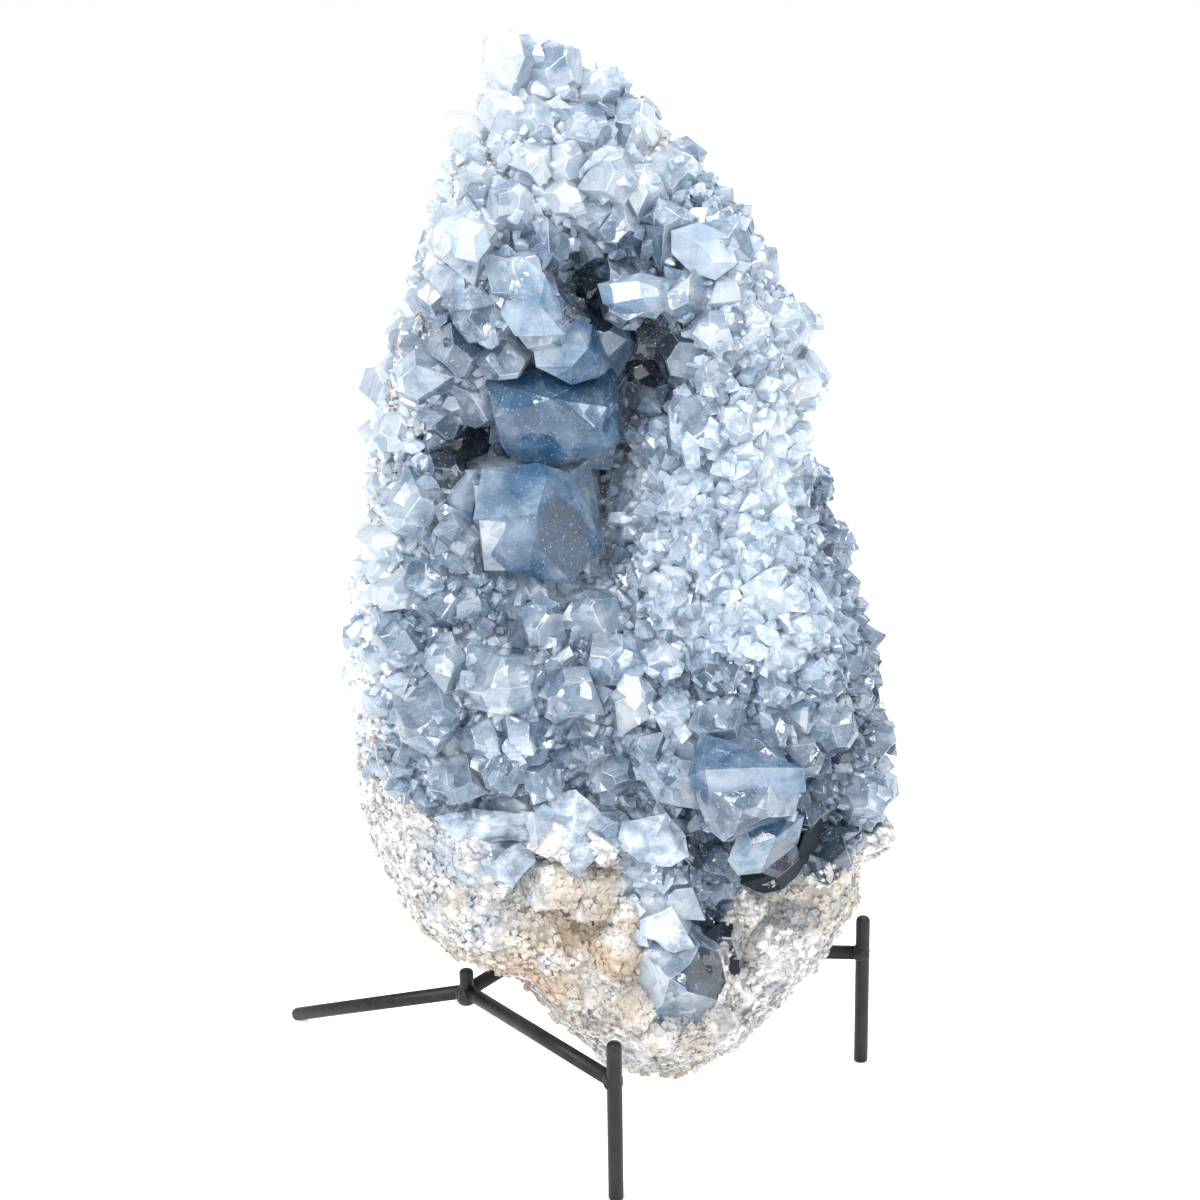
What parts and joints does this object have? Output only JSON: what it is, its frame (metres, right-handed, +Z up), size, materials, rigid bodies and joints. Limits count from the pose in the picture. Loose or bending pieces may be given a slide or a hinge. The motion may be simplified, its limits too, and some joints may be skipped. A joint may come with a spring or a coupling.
{
  "type": "celestite geode piece on a rod stand",
  "caption": "Tall celestite specimen, pale blue crystals lining a hollowed face in a white rind, resting in a black rod stand.",
  "frame": {"origin": "on the surface the stand rests on, under the middle of the bounding box", "axes": "+Z up, the crystal face looks towards -Y, +X to the right of the face"},
  "size_m": [0.2574, 0.1758, 0.4443],
  "materials": {
    "rind": "rough sugary white and cream rind with tan stains",
    "crystal": "clear to milky pale blue celestite crystals with flat faces",
    "rod": "satin black paint on round steel rod"
  },
  "bodies": {
    "root": {"matrix_rind": "rind", "crystal_crust": "crystal", "front_post": "rod", "right_post": "rod", "rear_leg": "rod", "left_bar": "rod", "rear_bar": "rod", "right_bar": "rod", "rear_prong": "rod"}
  },
  "joints": []
}
